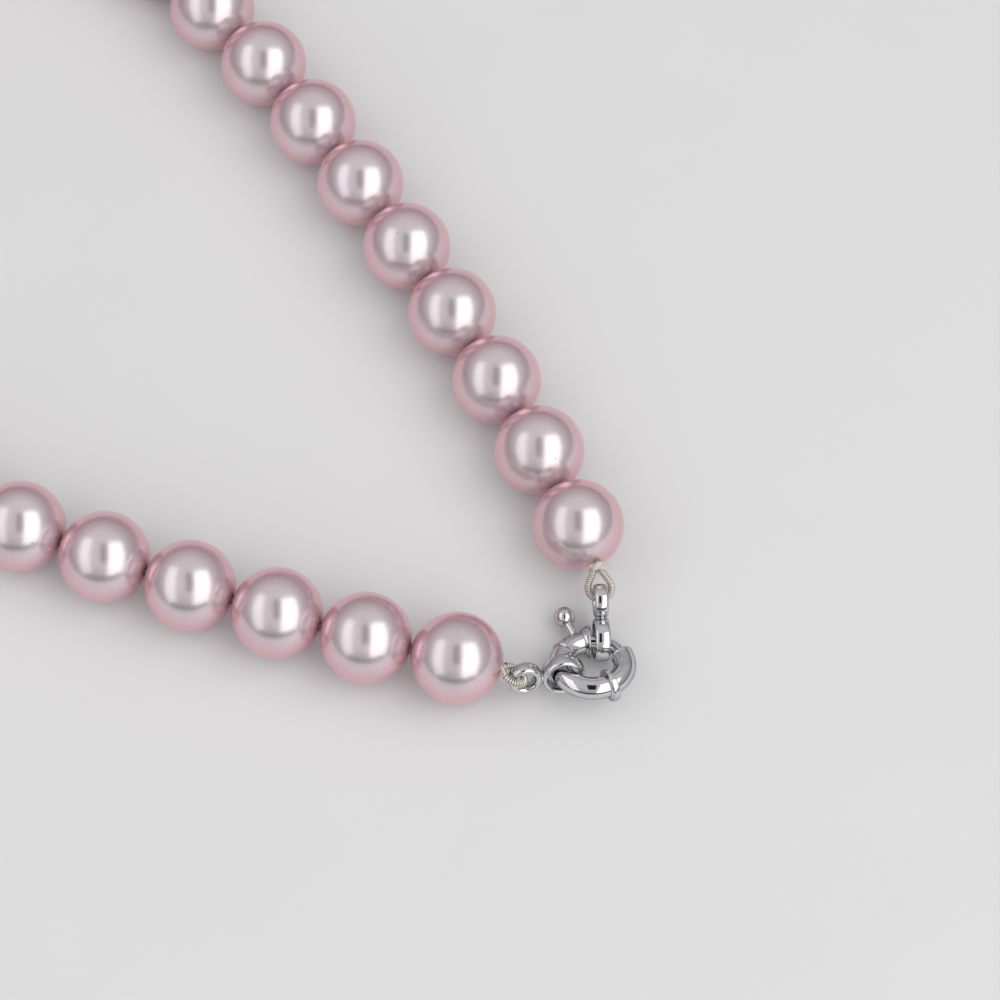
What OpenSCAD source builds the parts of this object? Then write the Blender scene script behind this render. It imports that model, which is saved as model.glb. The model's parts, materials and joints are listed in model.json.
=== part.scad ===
// Strung pearl necklace with a buoy clasp, lying closed on a flat surface.
// The loop is symmetric about the YZ plane. The front pearl is at -Y and the clasp at +Y.
// The origin is on the surface, under the middle of the necklace.

/* [Pearls] */
// Diameter of one pearl
pearl_d = 12; // [11.5:0.1:12.5]
// Gap between two neighbouring pearls
pearl_gap = 0.08; // [0.04:0.02:0.16]
// Diameter of the hole drilled through a pearl
bore_d = 1.2; // [1:0.1:1.6]
// Diameter of the silk thread
thread_d = 0.7; // [0.5:0.1:0.8]

/* [Loop] */
// Distance between the two pearls next to the clasp, centre to centre
clasp_span = 24.8; // [24:0.2:26]
// Angle at which each strand runs in towards the clasp, from the line of symmetry
clasp_lean = 28; // [24:1:30]
// Extra turn at the last joint beside the clasp
apex_turn = 4; // [2:0.5:6]

/* [Clasp] */
// Radius of the clasp ring, to the middle of its tube
ring_r = 4.2; // [4.1:0.05:4.3]
// Outer diameter of the clasp's tube
tube_d = 2.9; // [2.85:0.05:2.95]
// Bore of the clasp's tube
tube_bore_d = 2.2; // [2.1:0.05:2.25]
// Diameter of the sliding bolt
bolt_d = 1.7; // [1.5:0.05:1.8]
// Outer diameter of the collars on the tube
collar_d = 4.3; // [4:0.1:4.4]
// Diameter of the ball on the trigger
ball_d = 2.7; // [2.4:0.1:2.8]
// Tilt of the clasp ring as it lies
ring_tilt = 20; // [19:0.5:21]

/* [Links] */
// Outer diameter of the small eye of a figure-8 link
small_eye_d = 4.5; // [4.4:0.05:4.6]
// Outer diameter of the large eye of a figure-8 link
large_eye_d = 5.7; // [5.6:0.05:5.8]
// Diameter of the wound gimp wire coil
gimp_d = 1.05; // [0.9:0.05:1.1]

/* [Hidden] */
$fn = 48;
half_count = 17;
pearl_count = 2 * half_count + 1;
pearl_r = pearl_d / 2;
drill_z = pearl_r;

// ---- layout of the strand -------------------------------------------------------------
// Joint j lies between pearl j and pearl j + 1, counted from the front pearl, number 0.
// The turn at a joint falls from the front towards the sides, and rises a little again
// at the clasp. The share of a joint is its front part, before scaling.
joints = [0 : half_count - 1];
spread_power = 3;
apex_reach = 1.6;
function total(list, k = 0) = k < len(list) ? list[k] + total(list, k + 1) : 0;
function front_share(j, spread) = 1 / (1 + pow((j + 0.5) / spread, spread_power));
function apex_share(j) = apex_turn * exp(-pow((half_count - j - 0.5) / apex_reach, 2));
apex_sum = total([for (j = joints) apex_share(j)]);
function front_turn(spread) =
    (90 + clasp_lean - apex_sum) / total([for (j = joints) front_share(j, spread)]);
function turns(spread) =
    let (scale_turn = front_turn(spread))
    [for (j = joints) scale_turn * front_share(j, spread) + apex_share(j)];

// Half of a pearl's room along the thread, beside a joint with this turn: the two drilled
// holes meet in a corner, a little further out than the place where the pearls touch.
function half_room(turn) = (pearl_d + pearl_gap) / 2 / cos(turn / 2);
function heading(k, list) = k == 0 ? 0 : heading(k - 1, list) + list[k - 1];
function unit(angle) = [cos(angle), sin(angle)];
function centre(k, list) = k == 0 ? [0, 0] :
    centre(k - 1, list)
    + half_room(list[k - 1]) * (unit(heading(k - 1, list)) + unit(heading(k, list)));

// The spread that brings the last pearl to its place beside the clasp, by halving.
function miss(spread) = centre(half_count, turns(spread))[0] - clasp_span / 2;
function solve(low, high, steps) =
    let (middle = (low + high) / 2)
    steps == 0 ? middle : miss(middle) > 0 ? solve(low, middle, steps - 1)
                                          : solve(middle, high, steps - 1);
loop_spread = solve(3, 10, 30);
loop_turns = turns(loop_spread);
half_centres = [for (k = [0 : half_count]) centre(k, loop_turns)];
half_headings = [for (k = [0 : half_count]) heading(k, loop_turns)];
end_y = half_centres[half_count][1];

// ---- clasp placed beside the last two pearls --------------------------------------------
clasp_turn = 129.5;
ring_centre = [9.6, -9.45, 3.65];
mouth_angle = 100;
stem_angle = 115;
joint_angle = 300;
receiver_angle = 386;
bolt_end_angle = 20;
bolt_tail_angle = 148;
bolt_travel = 22;
nose_sink = 0.1;
nose_step = 0.08;
nose_d = 0.9;
nose_h = 0.6;
collar_half = 7;
band_half = 2.5;
joint_half = 6;
band_d = tube_d + 0.5;
stem_lean = 15;
stem_reach = 4.3;
stem_d = 1.2;
slot_w = 1.4;
slot_spare = 9.6;
slot_start = stem_angle - slot_spare;
slot_end = stem_angle + bolt_travel + slot_spare;

// Directions of the ring's own axes, and how far the joint collar reaches in +Y
function ring_out(angle) =
    let (x = cos(angle), y = sin(angle) * cos(ring_tilt))
    [x * cos(clasp_turn) - y * sin(clasp_turn), x * sin(clasp_turn) + y * cos(clasp_turn)];
ring_axis_y = sin(ring_tilt) * cos(clasp_turn);
ring_centre_y = ring_centre[0] * sin(clasp_turn) + ring_centre[1] * cos(clasp_turn);
collar_out_y = ring_out(joint_angle)[1];
clasp_reach = ring_centre_y + ring_r * collar_out_y + collar_d / 2 * norm([collar_out_y, ring_axis_y]);
middle_y = (end_y + clasp_reach - pearl_r) / 2;

// ---- links and gimp, in the clasp's frame ------------------------------------------------
small_band = 1.8;
small_thick = 1.0;
large_band = 1.95;
large_thick = 0.75;
eye_pitch = small_eye_d / 2 + large_eye_d / 2 - 0.1;
small_mid_r = small_eye_d / 2 - small_thick / 2;
gimp_r = small_band / 2 + gimp_d / 2 + 0.14;

// Each side is its large eye's centre, the way along the link, and the way its eyes face
left_side = [[10.8, -5.5, 2.86], [-0.02, 0.895, 0.445], [-1, -0.02, 0.08]];
right_side = [[5.76, -11.0, 4.22], [-0.965, -0.16, 0.1], [0.36, -0.88, 0.33]];

// Where the outer drilled hole of the last pearl opens, in the clasp's frame
function hole_of(side) =
    let (x = side * (clasp_span / 2 - pearl_r * sin(clasp_lean)), y = pearl_r * cos(clasp_lean))
    [x * cos(clasp_turn) + y * sin(clasp_turn), -x * sin(clasp_turn) + y * cos(clasp_turn), drill_z];
function straight(v) = v / norm(v);
function square_to(v, way) = straight(v - (v * way) / (way * way) * way);
function eye_face(side) = square_to(side[2], side[1]);
function small_eye(side) = side[0] + eye_pitch * straight(side[1]);
function eye_way(side, hole) = square_to(hole - small_eye(side), eye_face(side));
function gimp_centre(side, hole) = small_eye(side) + small_mid_r * eye_way(side, hole);
left_hole = hole_of(-1);
right_hole = hole_of(1);

function pearl_name(n) = str("pearl_", n < 10 ? "0" : "", n);

// ---- helpers -----------------------------------------------------------------------------
module at_clasp() {
    translate([0, end_y - middle_y, 0]) rotate([0, 0, clasp_turn]) children();
}

module in_ring() {
    at_clasp() translate(ring_centre) rotate([-ring_tilt, 0, 0]) children();
}

// Children's X axis along x_way and their Z axis as near as can be to z_way
module facing(place, x_way, z_way) {
    x = x_way / norm(x_way);
    y = cross(z_way, x) / norm(cross(z_way, x));
    z = cross(x, y);
    multmatrix([[x[0], y[0], z[0], place[0]],
                [x[1], y[1], z[1], place[1]],
                [x[2], y[2], z[2], place[2]]]) children();
}

// A stretch of round section carried round the ring, from one angle to another
module arc_of(from, to) {
    rotate_extrude(angle = to - from, start = from, $fn = 96) translate([ring_r, 0]) children();
}

module tube_section(outer, inner) {
    difference() {
        circle(d = outer);
        circle(d = inner);
    }
}

// A band with both faces domed: the lens of two large circles, cut to its width
module domed_band(outer_r, thick, width, outer_dome, inner_dome) {
    outer_round = (pow(width / 2, 2) + pow(outer_dome, 2)) / (2 * outer_dome);
    inner_round = (pow(width / 2, 2) + pow(inner_dome, 2)) / (2 * inner_dome);
    rotate_extrude($fn = 96) intersection() {
        translate([outer_r - outer_round, 0]) circle(r = outer_round, $fn = 96);
        translate([outer_r - thick + inner_round, 0]) circle(r = inner_round, $fn = 96);
        translate([outer_r - thick, -width / 2]) square([thick, width]);
    }
}

// ---- pearls and thread ---------------------------------------------------------------------
// Pearl number n of the whole strand, 1 at the left of the clasp and the last at its right
module pearl(n) {
    k = n - 1 - half_count;
    side = k < 0 ? -1 : 1;
    place = half_centres[abs(k)];
    color("mistyrose")
        translate([side * place[0], place[1] - middle_y, drill_z])
        rotate([0, 0, side * half_headings[abs(k)]])
        rotate([0, 90, 0])
        rotate_extrude($fn = 64)
        difference() {
            circle(d = pearl_d, $fn = 64);
            translate([bore_d / 2 - pearl_d, -pearl_d]) square([pearl_d, 2 * pearl_d]);
        }
}

// Corner of the thread between pearl k and pearl k + 1 of the right half
function corner(k) = half_centres[k] + half_room(loop_turns[k]) * unit(half_headings[k]);
thread_tail = 0.4;
strand_end = half_centres[half_count] + (pearl_r + thread_tail) * unit(half_headings[half_count]);
right_route = [for (k = joints) corner(k), strand_end];
route = concat(
    [for (i = [half_count : -1 : 0]) [-right_route[i][0], right_route[i][1]]], right_route);
function along(i) =
    let (ahead = route[min(i + 1, len(route) - 1)] - route[min(i, len(route) - 2)],
         behind = route[max(i, 1)] - route[max(i - 1, 0)])
    ahead / norm(ahead) + behind / norm(behind);
thread_sides = 8;

module stringing_thread() {
    rings = [for (i = [0 : len(route) - 1])
        let (way = along(i) / norm(along(i)), stretch = 2 / norm(along(i)))
        for (s = [0 : thread_sides - 1])
            let (out = thread_d / 2 * cos(s * 360 / thread_sides) * stretch)
            [route[i][0] - way[1] * out, route[i][1] + way[0] * out - middle_y,
             drill_z + thread_d / 2 * sin(s * 360 / thread_sides)]];
    walls = [for (i = [0 : len(route) - 2], s = [0 : thread_sides - 1])
        let (a = i * thread_sides + s, b = i * thread_sides + (s + 1) % thread_sides)
        [a, a + thread_sides, b + thread_sides, b]];
    first = [for (s = [0 : thread_sides - 1]) s];
    last = [for (s = [thread_sides - 1 : -1 : 0]) (len(route) - 1) * thread_sides + s];
    color("ivory") polyhedron(points = rings, faces = concat(walls, [first], [last]));
}

knot_h = 0.8;
module end_knot() {
    way = gimp_centre(left_side, left_hole) - left_hole;
    color("ivory") at_clasp() facing(left_hole + (knot_h / 2 + 0.6) * straight(way), way, [0, 0, 1])
        rotate([0, 90, 0]) cylinder(d1 = 1.5, d2 = 1.2, h = knot_h, center = true);
}

// A loop of wound wire that lines the thread's eye round a link, open towards the pearl
left_mouth = 40;
right_mouth = 58;
module gimp(side, hole, mouth) {
    band_way = cross(eye_way(side, hole), eye_face(side));
    place = gimp_centre(side, hole);
    color("silver") at_clasp() facing(place, square_to(hole - place, band_way), band_way)
        rotate_extrude(angle = 360 - 2 * mouth, start = mouth, $fn = 64)
        translate([gimp_r, 0]) circle(d = gimp_d, $fn = 32);
}

// ---- figure-8 links ---------------------------------------------------------------------------
module link(side) {
    waist_x = large_eye_d / 2 - 0.05;
    color("gainsboro") at_clasp() facing(side[0], side[1], eye_face(side))
        union() {
            domed_band(large_eye_d / 2, large_thick, large_band, 0.3, 0.1);
            translate([eye_pitch, 0, 0])
                domed_band(small_eye_d / 2, small_thick, small_band, 0.3, 0.15);
            translate([waist_x, 0, 0]) cube([0.7, 1.3, 1.5], center = true);
        }
}

// ---- clasp ----------------------------------------------------------------------------------------
module clasp_tube() {
    color("silver") in_ring() difference() {
        arc_of(mouth_angle, joint_angle) tube_section(tube_d, tube_bore_d);
        arc_of(slot_start, slot_end)
            rotate([0, 0, stem_lean]) translate([0, -slot_w / 2]) square([tube_d, slot_w]);
    }
}

module clasp_receiver() {
    color("silver") in_ring()
        arc_of(joint_angle, receiver_angle) tube_section(tube_d, tube_bore_d);
}

module mouth_collar() {
    color("gainsboro") in_ring() arc_of(mouth_angle - collar_half, mouth_angle)
        tube_section(collar_d, bolt_d + 0.2);
    color("gainsboro") in_ring() arc_of(mouth_angle, mouth_angle + collar_half)
        tube_section(collar_d, tube_d);
}

module joint_collar() {
    color("gainsboro") in_ring() arc_of(joint_angle - joint_half, joint_angle + joint_half)
        tube_section(collar_d, tube_d);
}

module clasp_band() {
    color("gainsboro") in_ring()
        arc_of(slot_end + 0.5, slot_end + 0.5 + 2 * band_half)
        tube_section(band_d, tube_d);
}

module bolt() {
    color("silver") in_ring() union() {
        arc_of(bolt_end_angle, bolt_tail_angle) circle(d = bolt_d);
        rotate([0, 0, bolt_end_angle]) translate([ring_r, nose_sink, 0]) rotate([90, 0, 0])
            cylinder(d1 = bolt_d - nose_step, d2 = nose_d, h = nose_h + nose_sink);
    }
}

// Children's X axis along the trigger's stem, from the middle of the tube outwards
module on_stem() {
    in_ring() rotate([0, 0, stem_angle]) translate([ring_r, 0, 0])
        rotate([0, -stem_lean, 0]) children();
}

module trigger_stem() {
    start_x = bolt_d / 2;
    color("silver") on_stem() translate([start_x, 0, 0])
        rotate([0, 90, 0]) cylinder(d = stem_d, h = stem_reach - ball_d / 2 - start_x + 0.1);
}

module trigger_ball() {
    color("gainsboro") on_stem() difference() {
        translate([stem_reach, 0, 0]) sphere(d = ball_d);
        rotate([0, 90, 0]) cylinder(d = stem_d, h = stem_reach - ball_d / 2 + 0.1);
    }
}

module bolt_spring() {
    color("dimgray") in_ring() arc_of(bolt_tail_angle + 1, joint_angle - 10)
        tube_section(tube_bore_d - 0.2, tube_bore_d - 0.9);
}

module spring_stop() {
    color("silver") in_ring() arc_of(joint_angle - 9, joint_angle - 1)
        circle(d = tube_bore_d - 0.02);
}

for (n = [1 : pearl_count]) {
    pearl(n);
}
stringing_thread();
end_knot();
gimp(left_side, left_hole, left_mouth);  // gimp_left
gimp(right_side, right_hole, right_mouth);  // gimp_right
link(left_side);  // link_left
link(right_side);  // link_right
clasp_tube();
clasp_receiver();
mouth_collar();
joint_collar();
clasp_band();
bolt();
trigger_stem();
trigger_ball();
bolt_spring();
spring_stop();
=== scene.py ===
"""Strung pearl necklace with a buoy clasp: its seen surfaces, finishes and studio.

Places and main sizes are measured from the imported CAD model's nodes and joints, in metres.
New surfaces are grids of two parameters, worked out as whole numpy arrays.
"""
import json
import math
import bmesh
import bpy
import numpy as np
from bpy.props import FloatProperty, FloatVectorProperty, IntProperty, PointerProperty
from bpy.types import Operator, Panel, PropertyGroup
from mathutils import Matrix, Vector


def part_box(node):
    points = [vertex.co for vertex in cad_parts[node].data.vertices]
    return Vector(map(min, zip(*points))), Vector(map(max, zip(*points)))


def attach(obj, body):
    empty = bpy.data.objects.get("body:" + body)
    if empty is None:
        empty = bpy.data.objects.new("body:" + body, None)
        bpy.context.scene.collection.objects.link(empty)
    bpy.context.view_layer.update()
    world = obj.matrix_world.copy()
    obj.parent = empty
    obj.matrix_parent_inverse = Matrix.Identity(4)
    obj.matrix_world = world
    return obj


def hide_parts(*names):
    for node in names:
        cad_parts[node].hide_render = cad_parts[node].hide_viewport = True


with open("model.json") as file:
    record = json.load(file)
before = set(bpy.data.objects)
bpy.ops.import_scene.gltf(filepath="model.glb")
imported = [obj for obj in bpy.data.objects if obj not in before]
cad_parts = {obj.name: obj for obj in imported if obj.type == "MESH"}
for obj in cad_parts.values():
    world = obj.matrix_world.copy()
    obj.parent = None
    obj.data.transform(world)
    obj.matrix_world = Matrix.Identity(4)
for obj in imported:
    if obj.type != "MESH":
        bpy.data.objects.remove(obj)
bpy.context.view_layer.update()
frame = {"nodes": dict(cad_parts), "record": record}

bl_info = {
    "name": "Pearl Necklace",
    "version": (1, 0, 0),
    "blender": (4, 5, 0),
    "location": "View3D > Sidebar > Necklace",
    "description": "Builds a strand of pearls with its thread, gimp, links and buoy clasp",
    "category": "Object",
}

MM = 0.001
UP = np.array([0.0, 0.0, 1.0])
PEARL_COUNT = 35
FRONT_PEARL = 18


# ---- measuring the frame ---------------------------------------------------------------

def node_points(name):
    """All vertices of a CAD node, as an array with one row each."""
    mesh = frame["nodes"][name].data
    points = np.empty(3 * len(mesh.vertices))
    mesh.vertices.foreach_get("co", points)
    return points.reshape(-1, 3)


def middle_of(name):
    """Middle of a CAD node's box."""
    low, high = (np.array(corner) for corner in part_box(name))
    return (low + high) / 2


def size_of(name):
    """Extent of a CAD node's box along X, Y and Z."""
    low, high = (np.array(corner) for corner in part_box(name))
    return high - low


JOINTS = {joint["name"]: joint for joint in frame["record"]["behaviour"]["joints"]}


def joint_place(name):
    """Where a joint's axis is, in metres."""
    return np.array(JOINTS[name]["pos_m"], dtype=float)


def straight(v):
    """The vector or vectors v, each made one long."""
    v = np.asarray(v, dtype=float)
    return v / np.linalg.norm(v, axis=-1, keepdims=True)


def square_to(v, way):
    """What is left of v at right angles to the unit vector way, made one long."""
    return straight(v - np.sum(v * way, axis=-1, keepdims=True) * way)


def pearl_name(number):
    return f"pearl_{number:02d}"


def corner_before(number):
    """Corner of the thread on the side of pearl number that has the smaller numbers."""
    if number <= FRONT_PEARL:
        return joint_place(f"flex_left_{FRONT_PEARL - number + 1:02d}") if number > 1 else None
    return joint_place(f"flex_right_{number - FRONT_PEARL:02d}")


def thread_ends(number):
    """Both ends of the straight thread through a pearl: its corners, or the outer holes."""
    middle = middle_of(pearl_name(number))
    start = corner_before(number)
    end = corner_before(number + 1) if number < PEARL_COUNT else None
    reach = PEARL_R + HOLE_TAIL
    if start is None:
        start = middle - reach * straight(end - middle)
    if end is None:
        end = middle + reach * straight(middle - start)
    return start, end


# The front pearl's hole runs along X
FRONT_POINTS = node_points(pearl_name(FRONT_PEARL)) - middle_of(pearl_name(FRONT_PEARL))
PEARL_R = float(np.linalg.norm(FRONT_POINTS, axis=1).max())
BORE_R = float(np.hypot(FRONT_POINTS[:, 1], FRONT_POINTS[:, 2]).min())
HOLE_TAIL = 0.4 * MM
THREAD_R = size_of("stringing_thread")[2] / 2

# The clasp ring's own axes: RING_X is level, RING_Z is the ring's axis
RING_MIDDLE = joint_place("bolt_retract")
RING_Z = straight(JOINTS["bolt_retract"]["axis"])
RING_X = straight(np.cross(RING_Z, UP))
RING_Y = np.cross(RING_Z, RING_X)


def ring_parts(points):
    """Turn about the ring's axis in radians, distance from it and height along it."""
    away = points - RING_MIDDLE
    x, y, z = away @ RING_X, away @ RING_Y, away @ RING_Z
    return np.arctan2(y, x), np.hypot(x, y), z


def ring_span(name):
    """First and last turn of a clasp node round the ring: it is what the widest gap leaves."""
    turns = np.sort(ring_parts(node_points(name))[0])
    gaps = np.diff(np.concatenate([turns, turns[:1] + 2 * np.pi]))
    last = int(np.argmax(gaps))
    start = turns[(last + 1) % len(turns)]
    end = turns[last]
    return start, end + (2 * np.pi if end < start else 0)


def section_r(name):
    """Outer radius of a clasp node's round section, from its height along the ring's axis."""
    return float(np.ptp(ring_parts(node_points(name))[2])) / 2


DISTANCES = ring_parts(node_points("clasp_receiver"))[1]
RING_R = float(DISTANCES.max() + DISTANCES.min()) / 2
TUBE_R = section_r("clasp_receiver")
COLLAR_R = section_r("joint_collar")
BAND_R = section_r("clasp_band")
BOLT_R = section_r("bolt")
SPRING_R = section_r("bolt_spring")
STOP_R = section_r("spring_stop")
WALL_IN_R = STOP_R + 0.01 * MM
BALL_MIDDLE = middle_of("trigger_ball")
BALL_R = size_of("trigger_ball")[2] / 2


# ---- settings --------------------------------------------------------------------------

class NecklaceSizes(PropertyGroup):
    """Sizes of the fine work that the CAD model leaves plain."""
    pearl_waver: FloatProperty(
        name="Pearl waver", description="How far a pearl is from a true ball",
        default=0.012 * MM, min=0.0, unit="LENGTH")
    hole_lip: FloatProperty(
        name="Hole lip", description="Rounding at the edge of a drilled hole",
        default=0.09 * MM, min=0.0, unit="LENGTH")
    ply_turn: FloatProperty(
        name="Ply length", description="Length in which the thread's plies turn once",
        default=1.6 * MM, min=0.0002, unit="LENGTH")
    gimp_wire: FloatProperty(
        name="Gimp wire", description="Diameter of the fine wire that is wound into gimp",
        default=0.27 * MM, min=0.0001, unit="LENGTH")
    gimp_pitch: FloatProperty(
        name="Gimp pitch", description="Distance between two windings of the gimp",
        default=0.31 * MM, min=0.0001, unit="LENGTH")
    spring_wire: FloatProperty(
        name="Spring wire", description="Diameter of the wire of the spring in the clasp",
        default=0.26 * MM, min=0.0001, unit="LENGTH")
    edge_round: FloatProperty(
        name="Edge rounding", description="Rounding of the clasp's polished edges",
        default=0.13 * MM, min=0.0, unit="LENGTH")
    fuzz_hairs: IntProperty(
        name="Fuzz hairs", description="Number of loose fibres round the knot",
        default=240, min=0)
    fuzz_reach: FloatProperty(
        name="Fuzz reach", description="How far the loose fibres stand out",
        default=0.75 * MM, min=0.0, unit="LENGTH")


class NecklaceFinishes(PropertyGroup):
    """Colours of the finishes."""
    nacre: FloatVectorProperty(
        name="Nacre", description="Colour of the pearls' gloss seen straight on", subtype="COLOR",
        default=(0.75, 0.67, 0.70), min=0.0, max=1.0)
    nacre_edge: FloatVectorProperty(
        name="Nacre edge", description="Colour of the pearls' gloss towards their edge",
        subtype="COLOR", default=(0.80, 0.47, 0.53), min=0.0, max=1.0)
    silver: FloatVectorProperty(
        name="Silver", description="Colour of the plated clasp and links", subtype="COLOR",
        default=(0.69, 0.69, 0.70), min=0.0, max=1.0)
    gimp: FloatVectorProperty(
        name="Gimp", description="Colour of the gimp wire", subtype="COLOR",
        default=(0.74, 0.74, 0.69), min=0.0, max=1.0)
    silk: FloatVectorProperty(
        name="Silk", description="Colour of the stringing thread", subtype="COLOR",
        default=(0.78, 0.72, 0.64), min=0.0, max=1.0)
    floor: FloatVectorProperty(
        name="Floor", description="Colour of the floor", subtype="COLOR",
        default=(0.80, 0.80, 0.80), min=0.0, max=1.0)


class NecklaceStudio(PropertyGroup):
    """Camera and light."""
    azimuth: FloatProperty(
        name="Azimuth", description="Turn of the camera round the necklace",
        default=math.radians(129.5), subtype="ANGLE")
    elevation: FloatProperty(
        name="Elevation", description="Height of the camera above the horizon",
        default=math.radians(63.15), subtype="ANGLE")
    distance: FloatProperty(
        name="Distance", description="From the camera to the point it looks at",
        default=0.45664, min=0.05, unit="LENGTH")
    lens: FloatProperty(
        name="Lens", description="Focal length of the camera", default=123.2, min=10.0)
    key_power: FloatProperty(
        name="Key light", description="Power of the large soft light", default=3.9, min=0.0)
    fill_power: FloatProperty(
        name="Fill light", description="Power of the second soft light", default=1.1, min=0.0)
    sky: FloatProperty(
        name="Room light", description="Strength of the light from the room", default=0.65,
        min=0.0)


def sizes():
    return bpy.context.scene.necklace_sizes


def finishes():
    return bpy.context.scene.necklace_finishes


def studio():
    return bpy.context.scene.necklace_studio


# ---- surfaces --------------------------------------------------------------------------

def grid_faces(rows, columns, round_rows, round_columns, skip=None):
    """Quads between neighbours of a grid of rows x columns points, as an array of indices.

    A round direction joins its last line to its first. skip marks cells to leave out."""
    i = np.arange(rows if round_rows else rows - 1)[:, None]
    j = np.arange(columns if round_columns else columns - 1)[None, :]
    below, right = (i + 1) % rows, (j + 1) % columns
    corners = [i * columns + j, i * columns + right, below * columns + right, below * columns + j]
    quads = np.stack(np.broadcast_arrays(*corners), axis=-1)
    return quads[~skip] if skip is not None else quads.reshape(-1, 4)


def skin(grid, round_rows=False, skip=None):
    """Points and faces of a grid whose columns close on themselves.

    Open ends get a fan of triangles to the middle of their row."""
    rows, columns = grid.shape[:2]
    points = grid.reshape(-1, 3)
    faces = grid_faces(rows, columns, round_rows, True, skip).tolist()
    if not round_rows:
        middles = np.stack([grid[0].mean(axis=0), grid[-1].mean(axis=0)])
        points = np.concatenate([points, middles])
        ring = np.arange(columns)
        after = (ring + 1) % columns
        base = (rows - 1) * columns
        tip, tail = rows * columns, rows * columns + 1
        faces += np.stack([after, ring, np.full(columns, tip)], axis=-1).tolist()
        faces += np.stack([base + ring, base + after, np.full(columns, tail)], axis=-1).tolist()
    return points, faces


def put(name, parts, body, material, nodes=()):
    """Makes one mesh object from (points, faces) parts, smooth, closed and facing outwards."""
    points = np.concatenate([part[0] for part in parts])
    starts = np.cumsum([0] + [len(part[0]) for part in parts])[:-1]
    faces = [tuple(start + corner for corner in face)
             for start, part in zip(starts.tolist(), parts) for face in part[1]]
    mesh = bpy.data.meshes.new(name)
    mesh.from_pydata(points.tolist(), [], faces)
    work = bmesh.new()
    work.from_mesh(mesh)
    loose = [vertex for vertex in work.verts if not vertex.link_faces]
    bmesh.ops.delete(work, geom=loose, context="VERTS")
    bmesh.ops.recalc_face_normals(work, faces=work.faces)
    work.to_mesh(mesh)
    work.free()
    mesh.polygons.foreach_set("use_smooth", np.ones(len(mesh.polygons), dtype=bool))
    mesh.materials.append(material)
    mesh.update()
    piece = bpy.data.objects.new(name, mesh)
    bpy.context.scene.collection.objects.link(piece)
    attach(piece, body)
    if nodes:
        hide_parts(*nodes)


def put_silver(name, parts, body, node):
    """Makes a polished piece that stands for one CAD node."""
    put(name, parts, body, finish("silver_plate"), [node])


def softened(outline, reach, steps=5):
    """A closed outline with its corners rounded: each corner P becomes the curve
    (1-t)^2 A + 2t(1-t) P + t^2 B, with A and B up to reach away along its two sides."""
    outline = np.asarray(outline, dtype=float)
    before = np.roll(outline, 1, axis=0) - outline
    after = np.roll(outline, -1, axis=0) - outline
    long_before = np.linalg.norm(before, axis=1, keepdims=True)
    long_after = np.linalg.norm(after, axis=1, keepdims=True)
    a = outline + before * np.minimum(reach / long_before, 0.48)
    b = outline + after * np.minimum(reach / long_after, 0.48)
    t = np.linspace(0, 1, steps)[None, :, None]
    rounded = (1 - t) ** 2 * a[:, None] + 2 * t * (1 - t) * outline[:, None] + t ** 2 * b[:, None]
    return rounded.reshape(-1, 2)


def filled(outline, step):
    """A closed outline with points added so that no side is much longer than step."""
    after = np.roll(outline, -1, axis=0)
    counts = np.maximum(np.ceil(np.linalg.norm(after - outline, axis=1) / step), 1).astype(int)
    index = np.repeat(np.arange(len(outline)), counts)
    place = np.arange(len(index)) - np.repeat(np.cumsum(counts) - counts, counts)
    share = (place / counts[index])[:, None]
    return outline[index] * (1 - share) + after[index] * share


def ring_grid(along, radius, around=56):
    """Points of a section carried round the ring: at turn a and section angle s, the point
    (R + r cos s) outwards and r sin s along the ring's axis. along is in metres of arc."""
    turn = (along / RING_R)[:, None]
    angle = np.linspace(0, 2 * np.pi, around, endpoint=False)[None, :]
    out = np.cos(turn)[..., None] * RING_X + np.sin(turn)[..., None] * RING_Y
    away = (RING_R + radius[:, None] * np.cos(angle))[..., None]
    lift = (radius[:, None] * np.sin(angle))[..., None]
    return RING_MIDDLE + away * out + lift * RING_Z


def ring_piece(outline, reach, step=0.22 * MM):
    """Closed shell on the ring from an outline of (arc, radius) points, corners rounded."""
    profile = filled(softened(outline, reach), step)
    return skin(ring_grid(profile[:, 0], profile[:, 1]), round_rows=True)


def ring_bar(profile):
    """Solid on the ring from an open profile of (arc, radius) points, closed at both ends."""
    profile = np.asarray(profile)
    return skin(ring_grid(profile[:, 0], profile[:, 1], 32))


def turned(middle, way, profile, around=48):
    """Solid turned about a straight axis, from (along, radius) points, closed at both ends."""
    side = square_to(UP + 0.3 * RING_X, way)
    other = np.cross(way, side)
    angle = np.linspace(0, 2 * np.pi, around, endpoint=False)
    circle = np.cos(angle)[:, None] * side + np.sin(angle)[:, None] * other
    profile = np.asarray(profile)
    grid = middle + profile[:, 0, None, None] * way + profile[:, 1, None, None] * circle
    return skin(grid)


def carried(path, out, radius, sides, plies=0, twist=None):
    """A round section carried along a path, out being the side it starts from at each point.

    With plies its radius swells and falls that many times round, turned on by twist."""
    way = straight(np.gradient(path, axis=0))
    out = square_to(out, way)
    side = np.cross(way, out)
    angle = np.linspace(0, 2 * np.pi, sides, endpoint=False)[None, :]
    thick = np.broadcast_to(radius, (len(path),))[:, None] * np.ones_like(angle)
    if plies:
        thick = thick * (0.80 + 0.20 * np.abs(np.cos(plies * (angle - twist[:, None]) / 2)))
    return (path[:, None] + (thick * np.cos(angle))[..., None] * out[:, None]
            + (thick * np.sin(angle))[..., None] * side[:, None])


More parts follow.
